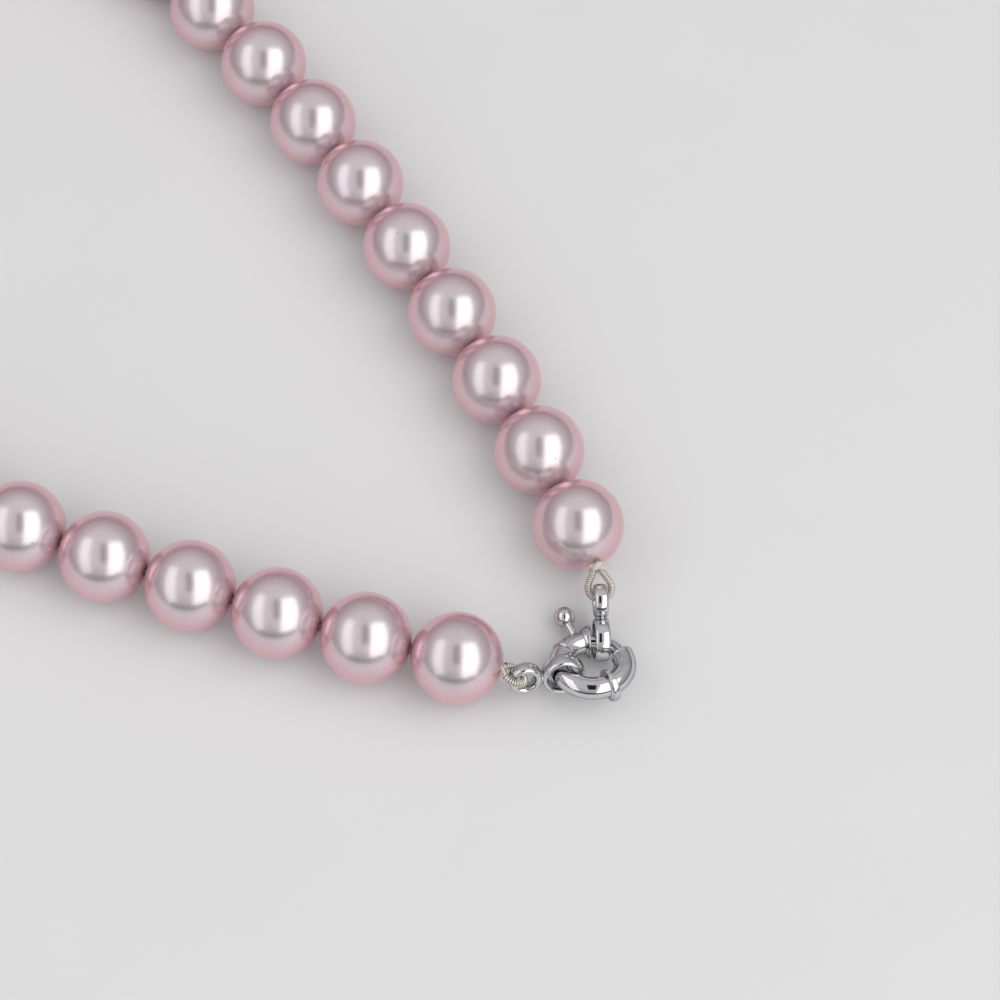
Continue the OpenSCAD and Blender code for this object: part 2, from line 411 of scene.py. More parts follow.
def smooth_path(corners, count):
    """A path of evenly spaced points on the curve through the corners, where each stretch is
    the cubic that leaves and meets them in the direction of their neighbours."""
    corners = np.asarray(corners, dtype=float)
    ends = np.concatenate([2 * corners[:1] - corners[1:2], corners, 2 * corners[-1:] - corners[-2:-1]])
    u = np.linspace(0, len(corners) - 1, 40 * len(corners))
    k = np.minimum(u.astype(int), len(corners) - 2)
    t = (u - k)[:, None]
    p0, p1, p2, p3 = ends[k], ends[k + 1], ends[k + 2], ends[k + 3]
    curve = 0.5 * (2 * p1 + (p2 - p0) * t + (2 * p0 - 5 * p1 + 4 * p2 - p3) * t ** 2
                   + (3 * p1 - p0 - 3 * p2 + p3) * t ** 3)
    run = np.concatenate([[0], np.cumsum(np.linalg.norm(np.diff(curve, axis=0), axis=1))])
    even = np.linspace(0, run[-1], count)
    return np.stack([np.interp(even, run, curve[:, axis]) for axis in range(3)], axis=-1)


def wound(path, level, coil_r, wire_r, pitch, steps=12, sides=7):
    """Wire wound round a path: its centre is at coil_r from the path and turns once in each
    pitch of length. level is a vector square to the path's plane."""
    run = np.linalg.norm(np.diff(path, axis=0), axis=1).sum()
    count = int(run / pitch * steps) + 1
    share = np.linspace(0, len(path) - 1, count)
    base = np.stack([np.interp(share, np.arange(len(path)), path[:, axis]) for axis in range(3)],
                    axis=-1)
    way = straight(np.gradient(base, axis=0))
    side = square_to(np.broadcast_to(level, way.shape), way)
    other = np.cross(way, side)
    turn = np.linspace(0, 2 * np.pi * run / pitch, count)[:, None]
    out = np.cos(turn) * side + np.sin(turn) * other
    return skin(carried(base + coil_r * out, out, wire_r, sides))


# ---- finishes --------------------------------------------------------------------------

def blank(name, colour, metallic, roughness):
    """A new material with its main shader, and Object coordinates in millimetres."""
    material = bpy.data.materials.new(name)
    material.use_nodes = True
    nodes, links = material.node_tree.nodes, material.node_tree.links
    shader = nodes["Principled BSDF"]
    shader.inputs["Base Color"].default_value = (*colour, 1)
    shader.inputs["Metallic"].default_value = metallic
    shader.inputs["Roughness"].default_value = roughness
    place = nodes.new("ShaderNodeTexCoord")
    scale = nodes.new("ShaderNodeMapping")
    scale.inputs["Scale"].default_value = (1 / MM, 1 / MM, 1 / MM)
    links.new(place.outputs["Object"], scale.inputs["Vector"])
    return material, nodes, links, shader, scale.outputs["Vector"]


def noise(nodes, links, vector, scale, detail, roughness=0.5):
    """A noise texture with that many features per millimetre."""
    texture = nodes.new("ShaderNodeTexNoise")
    texture.inputs["Scale"].default_value = scale
    texture.inputs["Detail"].default_value = detail
    texture.inputs["Roughness"].default_value = roughness
    links.new(vector, texture.inputs["Vector"])
    return texture.outputs["Fac"]


def spread(nodes, links, value, low, high, start=0.0, end=1.0):
    """value from low to high, carried over to start to end."""
    scale = nodes.new("ShaderNodeMapRange")
    scale.inputs["From Min"].default_value = low
    scale.inputs["From Max"].default_value = high
    scale.inputs["To Min"].default_value = start
    scale.inputs["To Max"].default_value = end
    links.new(value, scale.inputs["Value"])
    return scale.outputs["Result"]


def socket(sockets, identifier):
    """The socket with that identifier, as several of a node's sockets may share a name."""
    return next(one for one in sockets if one.identifier == identifier)


def blend_colour(nodes, links, share, first, second):
    """first where share is 0 and second where it is 1. first may be a colour or a socket."""
    mix = nodes.new("ShaderNodeMix")
    mix.data_type = "RGBA"
    start = socket(mix.inputs, "A_Color")
    if isinstance(first, tuple):
        start.default_value = (*first, 1)
    else:
        links.new(first, start)
    socket(mix.inputs, "B_Color").default_value = (*second, 1)
    links.new(share, socket(mix.inputs, "Factor_Float"))
    return socket(mix.outputs, "Result_Color")


def raise_surface(nodes, links, height, shader, depth, strength=1.0, before=None):
    """Bump of that depth in metres, laid over an earlier one where there is one."""
    bump = nodes.new("ShaderNodeBump")
    bump.inputs["Strength"].default_value = strength
    bump.inputs["Distance"].default_value = depth
    links.new(height, bump.inputs["Height"])
    if before is not None:
        links.new(before, bump.inputs["Normal"])
    links.new(bump.outputs["Normal"], shader.inputs["Normal"])
    return bump.outputs["Normal"]


def times(colour, factor):
    return tuple(min(1.0, channel * factor) for channel in colour)


def nacre_finish():
    """Pearl lacquer: fine mica that is lilac seen straight on and rose towards the edge, cloudy
    in tint, under a clear gloss coat with a few pin holes."""
    lilac = tuple(finishes().nacre)
    material, nodes, links, shader, vector = blank("nacre", lilac, 0.72, 0.2)
    cloud = noise(nodes, links, vector, 0.22, 3.0)
    clouded = blend_colour(nodes, links, spread(nodes, links, cloud, 0.3, 0.7),
                           times(lilac, 0.96), times(lilac, 1.05))
    slant = nodes.new("ShaderNodeLayerWeight")
    slant.inputs["Blend"].default_value = 0.5
    tint = blend_colour(nodes, links, spread(nodes, links, slant.outputs["Facing"], 0.16, 0.62),
                        clouded, tuple(finishes().nacre_edge))
    specks = nodes.new("ShaderNodeTexVoronoi")
    specks.inputs["Scale"].default_value = 0.42
    links.new(vector, specks.inputs["Vector"])
    pits = spread(nodes, links, specks.outputs["Distance"], 0.025, 0.05, 1.0, 0.0)
    pitted = blend_colour(nodes, links, pits, tint, (0.30, 0.16, 0.18))
    links.new(pitted, shader.inputs["Base Color"])
    mica = noise(nodes, links, vector, 26.0, 2.0)
    links.new(spread(nodes, links, mica, 0.3, 0.7, 0.24, 0.29), shader.inputs["Roughness"])
    peel = noise(nodes, links, vector, 2.2, 2.0)
    first = raise_surface(nodes, links, peel, shader, 0.004 * MM, 0.35)
    raise_surface(nodes, links, spread(nodes, links, pits, 0.0, 1.0, 1.0, 0.0), shader,
                  0.02 * MM, 0.6, first)
    shader.inputs["Coat Weight"].default_value = 0.35
    shader.inputs["Coat Roughness"].default_value = 0.12
    return material


def plated_finish(name, colour, roughness, waver):
    """Polished plating: faint polishing lines, a slow waver in the gloss and darker edges."""
    material, nodes, links, shader, vector = blank(name, colour, 1.0, roughness)
    lines = noise(nodes, links, vector, 7.0, 5.0, 0.6)
    links.new(spread(nodes, links, lines, 0.3, 0.7, roughness * 0.6, roughness * 1.6),
              shader.inputs["Roughness"])
    soft = noise(nodes, links, vector, 0.9, 2.0)
    links.new(blend_colour(nodes, links, spread(nodes, links, soft, 0.3, 0.7),
                           times(colour, 0.93), times(colour, 1.04)), shader.inputs["Base Color"])
    raise_surface(nodes, links, soft, shader, waver, 0.4)
    shader.inputs["Specular Tint"].default_value = (0.45, 0.45, 0.46, 1)
    return material


def silk_finish():
    """Twisted silk: matt, with fine fibres and a soft sheen."""
    silk = tuple(finishes().silk)
    material, nodes, links, shader, vector = blank("silk", silk, 0.0, 0.85)
    fibres = noise(nodes, links, vector, 9.0, 4.0, 0.7)
    links.new(blend_colour(nodes, links, spread(nodes, links, fibres, 0.3, 0.7),
                           times(silk, 0.72), times(silk, 1.15)), shader.inputs["Base Color"])
    raise_surface(nodes, links, fibres, shader, 0.05 * MM, 0.7)
    shader.inputs["Sheen Weight"].default_value = 0.4
    shader.inputs["Sheen Roughness"].default_value = 0.5
    return material


def floor_finish():
    """Smooth pale board with a barely seen mottle."""
    pale = tuple(finishes().floor)
    material, nodes, links, shader, vector = blank("pale_board", pale, 0.0, 0.62)
    mottle = noise(nodes, links, vector, 0.05, 4.0)
    links.new(blend_colour(nodes, links, spread(nodes, links, mottle, 0.3, 0.7),
                           times(pale, 0.992), times(pale, 1.008)), shader.inputs["Base Color"])
    grain = noise(nodes, links, vector, 3.0, 3.0)
    raise_surface(nodes, links, grain, shader, 0.01 * MM, 0.3)
    return material


def finish(name):
    """The named finish, made when it is first asked for."""
    if name in bpy.data.materials:
        return bpy.data.materials[name]
    silver = tuple(finishes().silver)
    makers = {
        "nacre": nacre_finish,
        "silk": silk_finish,
        "silver_plate": lambda: plated_finish("silver_plate", silver, 0.055, 0.02 * MM),
        "gimp_wire": lambda: plated_finish("gimp_wire", tuple(finishes().gimp), 0.26, 0.01 * MM),
        "spring_steel": lambda: plated_finish("spring_steel", (0.5, 0.5, 0.51), 0.3, 0.01 * MM),
        "pale_board": floor_finish,
    }
    return makers[name]()


# ---- pearls and thread -----------------------------------------------------------------

def pearl_parts(number):
    """A drilled ball: an arc from hole to hole and back along the bore, turned about the hole.

    Its radius wavers by a few slow waves over the surface, different on each pearl."""
    start, end = thread_ends(number)
    way = straight(end - start)
    middle = middle_of(pearl_name(number))
    side = np.cross(way, UP)
    lip = sizes().hole_lip
    first = math.asin((BORE_R + lip) / PEARL_R)
    arc = np.linspace(first, math.pi - first, 65)
    outer = np.stack([PEARL_R * np.cos(arc), PEARL_R * np.sin(arc)], axis=-1)
    edge = PEARL_R * math.cos(first)
    bend = np.linspace(0, math.pi / 2, 5)[1:]
    lip_far = np.stack([-edge + lip * (1 - np.cos(bend)), BORE_R + lip * (1 - np.sin(bend))], axis=-1)
    bore = np.stack([np.linspace(-edge + 2 * lip, edge - 2 * lip, 6), np.full(6, BORE_R)], axis=-1)
    lip_near = lip_far[::-1] * (-1, 1)
    profile = np.concatenate([outer, lip_far, bore, lip_near])
    turn = np.linspace(0, 2 * np.pi, 96, endpoint=False)
    circle = np.cos(turn)[:, None] * side + np.sin(turn)[:, None] * UP
    chance = np.random.default_rng(number)
    waves = chance.uniform(-1, 1, 4)
    lag = chance.uniform(0, 2 * np.pi, 4)
    latitude = np.arctan2(profile[:, 1], profile[:, 0])[:, None]
    waver = sum(waves[i] * np.sin((i + 1) * latitude) * np.cos((i + 1) * turn + lag[i])
                for i in range(4)) / 4
    swell = 1 + waver * sizes().pearl_waver / PEARL_R * (profile[:, 1] > BORE_R * 1.5)[:, None]
    grid = middle + profile[:, 0, None, None] * way * swell[..., None] \
        + (profile[:, 1, None] * swell)[..., None] * circle
    return skin(grid, round_rows=True)


def thread_parts(number):
    """Straight three-ply thread from corner to corner of one pearl."""
    start, end = thread_ends(number)
    share = np.linspace(0, 1, 60)[:, None]
    path = start + (end - start) * share
    twist = share[:, 0] * np.linalg.norm(end - start) / sizes().ply_turn * 2 * np.pi
    out = np.broadcast_to(UP, path.shape)
    return skin(carried(path, out, THREAD_R, 18, 3, twist))


# ---- gimp and knot ---------------------------------------------------------------------

def hole_place(number):
    """Middle of the outer hole of the first or the last pearl."""
    start, end = thread_ends(number)
    middle = middle_of(pearl_name(number))
    way = straight(end - start) if number == PEARL_COUNT else straight(start - end)
    return middle + PEARL_R * way


def gimp_facts(side):
    """Middle, the way to the pearl's hole, the sideways direction, and radius of a gimp loop.

    The loop's plane is the one in which its CAD node's points are spread."""
    number = 1 if side == "left" else PEARL_COUNT
    middle = joint_place(f"link_{side}_swing")
    points = node_points(f"gimp_{side}") - middle
    level = np.linalg.svd(points, full_matrices=False)[2][2]
    hole = hole_place(number) - middle
    to_hole = square_to(hole, level)
    across = np.cross(level, to_hole)
    thick = float(np.ptp(points @ level)) / 2
    loop_r = float(np.hypot(points @ to_hole, points @ across).max()) - thick
    return middle, to_hole, across, level, loop_r, thick, float(hole @ to_hole)


def gimp_path(side):
    """Centre line of a gimp: from beside the pearl's hole, round the link's eye and back."""
    middle, to_hole, across, _, loop_r, thick, reach = gimp_facts(side)
    near = reach - (0.12 * MM if side == "right" else 1.15 * MM)
    start = math.radians(62)
    turns = np.linspace(start, 2 * np.pi - start, 15)
    x = np.concatenate([[near], loop_r * np.cos(turns), [near]])
    y = np.concatenate([[thick * 1.02], loop_r * np.sin(turns), [-thick * 1.02]])
    return smooth_path(middle + x[:, None] * to_hole + y[:, None] * across, 220)


def gimp_parts(side):
    """The wound wire of a gimp."""
    _, _, _, level, _, thick, _ = gimp_facts(side)
    path = gimp_path(side)
    wire_r = sizes().gimp_wire / 2
    return wound(path, level, thick - wire_r, wire_r, sizes().gimp_pitch)


def gimp_core(side):
    """Thread inside a gimp, from the pearl's hole round the eye and back."""
    middle, to_hole, across, level, _, thick, reach = gimp_facts(side)
    path = gimp_path(side)
    inside = middle + (reach + 1.5 * MM) * to_hole
    brim = middle + (reach - 0.02 * MM) * to_hole
    offset = 0.26 * MM * across
    whole = np.concatenate([[inside + offset, brim + offset], path[2:-2:6],
                            [brim - offset, inside - offset]])
    curve = smooth_path(whole, 260)
    out = np.broadcast_to(level, curve.shape)
    run = np.linspace(0, 12 * np.pi, len(curve))
    return skin(carried(curve, out, 0.25 * MM, 10, 3, run))


def knot_parts():
    """Overhand knot: a trefoil, x = sin t + 2 sin 2t, y = cos t - 2 cos 2t, z = -sin 3t, pulled
    tight between the pearl and the gimp."""
    middle, to_hole, across, level, _, _, reach = gimp_facts("left")
    place = middle + (reach - 0.62 * MM) * to_hole
    t = np.linspace(0, 2 * np.pi, 181)[:-1]
    shape = np.stack([np.sin(t) + 2 * np.sin(2 * t), np.cos(t) - 2 * np.cos(2 * t),
                      -1.3 * np.sin(3 * t)], axis=-1)
    turn = np.stack([across, level, 0.62 * to_hole])
    path = place + 0.31 * MM * shape @ turn
    ahead = np.roll(path, -1, axis=0)
    behind = np.roll(path, 1, axis=0)
    way = straight(ahead - behind)
    out = square_to(path - place + 0.2 * MM * level, way)
    side = np.cross(way, out)
    angle = np.linspace(0, 2 * np.pi, 14, endpoint=False)[None, :]
    thick = 0.38 * MM * (0.82 + 0.18 * np.abs(np.cos(1.5 * (angle - 9 * t[:, None]))))
    grid = (path[:, None] + (thick * np.cos(angle))[..., None] * out[:, None]
            + (thick * np.sin(angle))[..., None] * side[:, None])
    return place, skin(grid, round_rows=True)


def fuzz_parts(place, reach, count, seed):
    """Loose fibres: each starts near the knot's middle and bends away, as
    p + d s + b s^2, with s from 0 to 1, and thins towards its tip."""
    chance = np.random.default_rng(seed)
    way = straight(chance.normal(size=(count, 3)))
    bend = chance.normal(size=(count, 3)) * 0.45
    length = chance.uniform(0.45, 1.0, (count, 1)) * reach
    s = np.linspace(0, 1, 6)[None, :, None]
    start = place + way * 0.62 * MM * chance.uniform(0.7, 1.0, (count, 1))
    path = start[:, None] + length[:, None] * (way[:, None] * s + bend[:, None] * s ** 2)
    path[..., 2] = np.maximum(path[..., 2], 0.3 * MM)
    angle = np.linspace(0, 2 * np.pi, 3, endpoint=False)
    side = square_to(np.cross(way, [0.3, 0.5, 0.8]), way)
    other = np.cross(way, side)
    thick = 0.028 * MM * (1.15 - s)
    circle = np.cos(angle)[:, None] * side[:, None] + np.sin(angle)[:, None] * other[:, None]
    grid = path[:, :, None] + thick[..., None] * circle[:, None]
    parts = [skin(one) for one in grid]
    starts = np.arange(count) * len(parts[0][0])
    points = np.concatenate([part[0] for part in parts])
    faces = [tuple(start_at + corner for corner in face)
             for start_at in starts.tolist() for face in parts[0][1]]
    return points, faces


# ---- links -----------------------------------------------------------------------------

# Thickness and width of the bands that the eyes are bent from
LARGE_BAND = (0.75 * MM, 1.95 * MM)
SMALL_BAND = (1.0 * MM, 1.8 * MM)
# Reach of the joint between the eyes along the link, across it and along its eyes' axes
NECK_REACH = (0.62 * MM, 0.62 * MM, 0.8 * MM)


def link_facts(side):
    """Middles, outer radii, direction and facing of a link's two eyes, from its CAD node.

    The long and the thin way are the main axes of the node's surface, weighed by area."""
    node = frame["nodes"][f"link_{side}"].data
    points = node_points(f"link_{side}")
    node.calc_loop_triangles()
    corners = np.empty(3 * len(node.loop_triangles), dtype=np.int32)
    node.loop_triangles.foreach_get("vertices", corners)
    a, b, c = (points[corners.reshape(-1, 3)[:, i]] for i in range(3))
    area = np.linalg.norm(np.cross(b - a, c - a), axis=1)[:, None]
    middles = (a + b + c) / 3
    centre = (middles * area).sum(axis=0) / area.sum()
    away = middles - centre
    axes = np.linalg.eigh((away * area).T @ away)[1].T
    way, face = axes[2], axes[0]
    if (joint_place(f"link_{side}_swing") - centre) @ way < 0:
        way = -way
    across = np.cross(face, way)
    far = (points - centre) @ way
    wide = np.abs((points - centre) @ across)
    large_r = float(wide[far < 0].max())
    small_r = float(wide[far > 0.2 * far.max()].max())
    large = centre + (far.min() + large_r) * way
    small = centre + (far.max() - small_r) * way
    return large, small, large_r, small_r, way, face


def eye_parts(middle, way, face, outer_r, thick, width):
    """A band bent to a ring: its section is a rounded bar,
    x = cos t |cos t|^(p-1), y = sin t |sin t|^(p-1), fuller on its outer face."""
    across = np.cross(face, way)
    t = np.linspace(0, 2 * np.pi, 40, endpoint=False)
    x = np.sign(np.cos(t)) * np.abs(np.cos(t)) ** 0.82
    y = np.sign(np.sin(t)) * np.abs(np.sin(t)) ** 0.72
    distance = outer_r - thick / 2 + thick / 2 * x
    height = width / 2 * y
    turn = np.linspace(0, 2 * np.pi, 128, endpoint=False)[:, None, None]
    out = np.cos(turn) * way + np.sin(turn) * across
    grid = middle + distance[None, :, None] * out + height[None, :, None] * face
    return skin(grid, round_rows=True)


def neck_parts(place, way, face, reach, across_r, face_r):
    """The small egg-shaped joint between the eyes."""
    across = np.cross(face, way)
    u = np.linspace(0.06, np.pi - 0.06, 20)[:, None, None]
    t = np.linspace(0, 2 * np.pi, 32, endpoint=False)[None, :, None]
    grid = (place + reach * np.cos(u) * way + across_r * np.sin(u) * np.cos(t) * across
            + face_r * np.sin(u) * np.sin(t) * face)
    return skin(grid)


def link_parts(side):
    """Both eyes and the joint between them."""
    large, small, large_r, small_r, way, face = link_facts(side)
    waist = large + (large_r - 0.05 * MM) * way
    return [eye_parts(large, way, face, large_r, *LARGE_BAND),
            eye_parts(small, way, face, small_r, *SMALL_BAND),
            neck_parts(waist, way, face, *NECK_REACH)]


# ---- clasp -----------------------------------------------------------------------------

def arc_of(name):
    """A clasp node's span as lengths of arc."""
    start, end = ring_span(name)
    return start * RING_R, end * RING_R


def trigger_angles():
    """Turn of the trigger round the ring, and its angle round the tube's section."""
    turn, distance, height = ring_parts(BALL_MIDDLE[None])
    return float(turn[0]), math.atan2(float(height[0]), float(distance[0]) - RING_R)


def slot_facts():
    """First and last turn of the trigger's slot, and half its width as a section angle."""
    turn, lean = trigger_angles()
    band_start = ring_span("clasp_band")[0]
    spare = math.radians(9.6)
    half_width = math.asin(0.7 * MM / TUBE_R)
    return turn - spare, band_start - math.radians(0.5), lean, half_width


def tube_parts():
    """Front section of the tube with the trigger's slot: a grid of turn by section angle for
    the outside and one for the bore, joined at both ends and round the slot's opening."""
    across_slot = 10
    first, last = ring_span("clasp_tube")
    slot_first, slot_last, lean, half = slot_facts()
    slot_first = max(slot_first, first + math.radians(2.5))
    turns = np.unique(np.concatenate([np.linspace(first, slot_first, 8),
                                      np.linspace(slot_first, slot_last, 40),
                                      np.linspace(slot_last, last, 90)]))
    angles = lean + np.concatenate([np.linspace(-half, half, across_slot + 1)[:-1],
                                    np.linspace(half, 2 * np.pi - half, 60)[:-1]])
    rows, columns = len(turns), len(angles)
    out = np.cos(turns)[:, None] * RING_X + np.sin(turns)[:, None] * RING_Y
    shells = [RING_MIDDLE + (RING_R + radius * np.cos(angles))[None, :, None] * out[:, None]
              + (radius * np.sin(angles))[None, :, None] * RING_Z for radius in (TUBE_R, WALL_IN_R)]
    grid = np.concatenate([shells[0], shells[1][::-1]])
    row_first = int(np.argmin(np.abs(turns - slot_first)))
    row_last = int(np.argmin(np.abs(turns - slot_last)))
    skip = np.zeros((2 * rows, columns), dtype=bool)
    skip[row_first:row_last, :across_slot] = True
    skip[2 * rows - 1 - row_last:2 * rows - 1 - row_first, :across_slot] = True
    points, faces = skin(grid, round_rows=True, skip=skip)
    down = np.arange(row_first, row_last + 1)
    over = np.arange(across_slot + 1)
    rim_rows = np.concatenate([down, np.full(across_slot, row_last), down[::-1][1:],
                               np.full(across_slot - 1, row_first)])
    rim_columns = np.concatenate([np.zeros(len(down), int), over[1:],
                                  np.full(len(down) - 1, across_slot), over[::-1][1:-1]])
    outside = rim_rows * columns + rim_columns
    inside = (2 * rows - 1 - rim_rows) * columns + rim_columns
    walls = np.stack([outside, np.roll(outside, -1), np.roll(inside, -1), inside], axis=-1)
    return points, faces + walls.tolist()


def receiver_parts():
    """Rear section of the tube, open where it takes the bolt's nose, with a rolled lip."""
    start, end = arc_of("clasp_receiver")
    lip = TUBE_R + 0.04 * MM
    outline = [(start, TUBE_R), (end - 0.35 * MM, TUBE_R), (end - 0.25 * MM, lip), (end, lip),
               (end, WALL_IN_R), (start, WALL_IN_R)]
    return ring_piece(outline, sizes().edge_round)


def mouth_collar_parts():
    """Bell-mouthed collar: a bead at the back, a hollow, and a flange at the open end."""
    start, end = arc_of("mouth_collar")
    seat = TUBE_R - 0.05 * MM
    bolt_hole = BOLT_R + 0.1 * MM
    flange = start + 0.38 * (end - start)
    outline = [(start, bolt_hole), (start, COLLAR_R - 0.12 * MM), (start + 0.12 * MM, COLLAR_R),
               (flange, COLLAR_R), (flange + 0.1 * MM, COLLAR_R - 0.28 * MM),
               (end - 0.25 * MM, TUBE_R + 0.28 * MM), (end, TUBE_R + 0.2 * MM), (end, seat),
               (start + 0.55 * (end - start), seat), (start + 0.5 * (end - start), bolt_hole)]
    return ring_piece(outline, sizes().edge_round, 0.15 * MM)


def joint_collar_parts():
    """Flange over the joint between the tube's two sections, with a bead at each side."""
    start, end = arc_of("joint_collar")
    middle = (start + end) / 2
    rim = 0.30 * MM
    seat = TUBE_R - 0.05 * MM
    foot = TUBE_R + 0.1 * MM
    outline = [(start, seat), (start, foot), (middle - rim - 0.04 * MM, TUBE_R + 0.3 * MM),
               (middle - rim, COLLAR_R), (middle + rim, COLLAR_R),
               (middle + rim + 0.04 * MM, TUBE_R + 0.3 * MM), (end, foot), (end, seat)]
    return ring_piece(outline, sizes().edge_round, 0.15 * MM)


def band_parts():
    """Half-round band on the tube, behind the slot."""
    start, end = arc_of("clasp_band")
    middle = (start + end) / 2
    outline = [(start, TUBE_R - 0.05 * MM), (start, TUBE_R + 0.05 * MM), (middle, BAND_R + 0.06 * MM),
               (end, TUBE_R + 0.05 * MM), (end, TUBE_R - 0.05 * MM)]
    return ring_piece(outline, 0.15 * MM, 0.1 * MM)


def bolt_parts():
    """Round bar bent to the ring, with a domed nose and a softened tail."""
    start, end = arc_of("bolt")
    dome = np.linspace(0.08, 1, 12) * np.pi / 2
    nose_long = 0.62 * MM
    nose = np.stack([start + nose_long * (1 - np.cos(dome)), BOLT_R * np.sin(dome)], axis=-1)
    run = np.linspace(start + nose_long, end - 0.15 * MM, 70)[1:]
    bar = np.stack([run, np.full_like(run, BOLT_R)], axis=-1)
    tail = [(end - 0.04 * MM, BOLT_R - 0.04 * MM), (end, BOLT_R - 0.15 * MM)]
    return ring_bar(np.concatenate([nose, bar, tail]))


def stop_parts():
    """Plug in the tube that the spring stands against."""
    start, end = arc_of("spring_stop")
    run = np.linspace(start, end, 8)
    radius = np.full(8, STOP_R)
    radius[[0, -1]] = STOP_R - 0.08 * MM
    return ring_bar(np.stack([run, radius], axis=-1))


def spring_parts():
    """Spring behind the bolt: wire wound round the ring's own circle."""
    start, end = ring_span("bolt_spring")
    turn = np.linspace(start, end, 200)[:, None]
    path = RING_MIDDLE + RING_R * (np.cos(turn) * RING_X + np.sin(turn) * RING_Y)
    wire_r = sizes().spring_wire / 2
    return wound(path, RING_Z, SPRING_R - wire_r, wire_r, 0.62 * MM, 18)


def trigger_way():
    """Middle of the bolt under the trigger, and the way from it to the ball."""
    turn = trigger_angles()[0]
    base = RING_MIDDLE + RING_R * (math.cos(turn) * RING_X + math.sin(turn) * RING_Y)
    return base, straight(BALL_MIDDLE - base), float(np.linalg.norm(BALL_MIDDLE - base))


def stem_parts():
    """Stem of the trigger: a rod that widens a little where it meets the bolt and the ball."""
    base, way, reach = trigger_way()
    start = BOLT_R - 0.06 * MM
    end = reach - BALL_R + 0.12 * MM
    run = np.linspace(start, end, 24)
    share = (run - start) / (end - start)
    radius = (0.58 + 0.05 * np.abs(2 * share - 1) ** 4) * MM
    return turned(base, way, np.stack([run, radius], axis=-1), 32)


def ball_parts():
    """Ball on the stem, with a slight flat at its outer end."""
    base, way, reach = trigger_way()
    u = np.linspace(0.05, np.pi - 0.05, 40)
    along = reach - BALL_R * np.cos(u)
    along = np.minimum(along, reach + BALL_R - 0.04 * MM)
    return turned(base, way, np.stack([along, BALL_R * np.sin(u)], axis=-1))


# ---- operators -------------------------------------------------------------------------

class NECKLACE_OT_string_pearls(Operator):
    """Makes the drilled pearls"""
    bl_idname = "necklace.string_pearls"
    bl_label = "Pearls"

    def execute(self, context):
        for number in range(1, PEARL_COUNT + 1):
            put(f"drilled_pearl_{number:02d}", [pearl_parts(number)], f"strand_{number:02d}",
                finish("nacre"), [pearl_name(number)])
        return {"FINISHED"}


class NECKLACE_OT_lay_thread(Operator):
    """Makes the thread, one straight length in each pearl"""
    bl_idname = "necklace.lay_thread"
    bl_label = "Stringing thread"

    def execute(self, context):
        for number in range(1, PEARL_COUNT + 1):
            nodes = ["stringing_thread"] if number == FRONT_PEARL else []
            put(f"silk_thread_{number:02d}", [thread_parts(number)], f"strand_{number:02d}",
                finish("silk"), nodes)
        return {"FINISHED"}


class NECKLACE_OT_wind_gimps(Operator):
    """Makes the two wound gimp loops and the thread inside them"""
    bl_idname = "necklace.wind_gimps"
    bl_label = "Gimp"

    def execute(self, context):
        for side, number in (("left", 1), ("right", PEARL_COUNT)):
            body = f"strand_{number:02d}"
            put(f"wound_gimp_{side}", [gimp_parts(side)], body, finish("gimp_wire"),
                [f"gimp_{side}"])
            put(f"gimp_thread_{side}", [gimp_core(side)], body, finish("silk"))
        return {"FINISHED"}


class NECKLACE_OT_tie_knot(Operator):
    """Makes the knot beside the first pearl, with its loose fibres"""
    bl_idname = "necklace.tie_knot"
    bl_label = "End knot"

    def execute(self, context):
        place, knot = knot_parts()
        fuzz = fuzz_parts(place, sizes().fuzz_reach, sizes().fuzz_hairs, 3)
        put("tied_knot", [knot], "strand_01", finish("silk"), ["end_knot"])
        put("knot_fuzz", [fuzz], "strand_01", finish("silk"))
        return {"FINISHED"}


class NECKLACE_OT_form_links(Operator):
    """Makes the two figure-8 links"""
    bl_idname = "necklace.form_links"
    bl_label = "Links"

    def execute(self, context):
        for side in ("left", "right"):
            put_silver(f"figure_eight_{side}", link_parts(side), f"link_{side}", f"link_{side}")
        return {"FINISHED"}


class NECKLACE_OT_bend_tube(Operator):
    """Makes the two sections of the clasp's tube"""
    bl_idname = "necklace.bend_tube"
    bl_label = "Clasp tube"

    def execute(self, context):
        put_silver("slotted_tube", [tube_parts()], "clasp", "clasp_tube")
        put_silver("open_receiver", [receiver_parts()], "clasp", "clasp_receiver")
        return {"FINISHED"}


class NECKLACE_OT_turn_collars(Operator):
    """Makes the collars and the band on the tube"""
    bl_idname = "necklace.turn_collars"
    bl_label = "Collars and band"

    def execute(self, context):
        put_silver("bell_collar", [mouth_collar_parts()], "clasp", "mouth_collar")
        put_silver("flange_collar", [joint_collar_parts()], "clasp", "joint_collar")
        put_silver("half_round_band", [band_parts()], "clasp", "clasp_band")
        return {"FINISHED"}


class NECKLACE_OT_form_bolt(Operator):
    """Makes the bolt with its trigger's stem and ball"""
    bl_idname = "necklace.form_bolt"
    bl_label = "Bolt and trigger"

    def execute(self, context):
        put_silver("domed_bolt", [bolt_parts()], "bolt", "bolt")
        put_silver("turned_stem", [stem_parts()], "bolt", "trigger_stem")
        put_silver("thumb_ball", [ball_parts()], "bolt", "trigger_ball")
        return {"FINISHED"}


class NECKLACE_OT_wind_spring(Operator):
    """Makes the spring behind the bolt and the plug it stands against"""
    bl_idname = "necklace.wind_spring"
    bl_label = "Spring and stop"

    def execute(self, context):
        steel = finish("spring_steel")
        put("coil_spring", [spring_parts()], "clasp", steel, ["bolt_spring"])
        put_silver("spring_plug", [stop_parts()], "clasp", "spring_stop")
        return {"FINISHED"}


# The point the camera looks at, from the clasp ring's middle, and half the floor's side
AIM_OFFSET = np.array([-12.225, -25.559, 0]) * MM
FLOOR_HALF = 2.2
